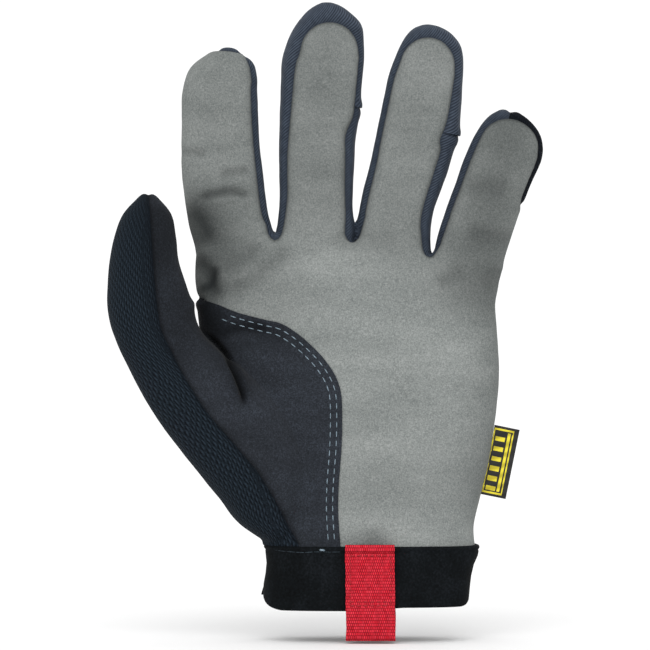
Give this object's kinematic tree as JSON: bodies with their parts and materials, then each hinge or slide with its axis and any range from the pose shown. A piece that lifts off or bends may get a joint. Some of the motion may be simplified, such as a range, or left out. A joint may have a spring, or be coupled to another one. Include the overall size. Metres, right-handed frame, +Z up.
{
  "type": "mechanic glove",
  "caption": "Left-hand work glove shown as worn: grey suede palm, charcoal thumb crescent, stretch strips between the fingers, elastic cuff with a back strap and a pull loop.",
  "frame": {"origin": "centre of the wrist opening, in the plane of the cuff's lower edge", "axes": "+Z up from the wrist towards the fingertips, -Y out of the palm towards the viewer, +X towards the little finger's side"},
  "size_m": [0.1743, 0.0509, 0.254],
  "materials": {
    "suede_grey": "mid-grey synthetic suede with a fine mottled nap",
    "suede_charcoal": "charcoal synthetic suede, worn smoother over the ball of the thumb",
    "twill_navy": "slate-blue stretch twill with a fine diagonal rib",
    "knit_navy": "dark navy ribbed stretch knit",
    "neoprene_black": "black neoprene faced with brushed jersey",
    "webbing_red": "red nylon webbing with cross ribs",
    "label_black": "black woven label with a plain yellow frame and bars"
  },
  "bodies": {
    "root": {"palm_panel": "suede_grey", "thumb_palm_panel": "suede_charcoal", "thumb_back_panel": "knit_navy", "back_panel": "knit_navy", "strip_index_middle": "twill_navy", "strip_middle_ring": "twill_navy", "strip_ring_little": "twill_navy", "cuff": "neoprene_black", "closure_strap": "neoprene_black", "pull_loop": "webbing_red", "side_label": "label_black"}
  },
  "joints": []
}
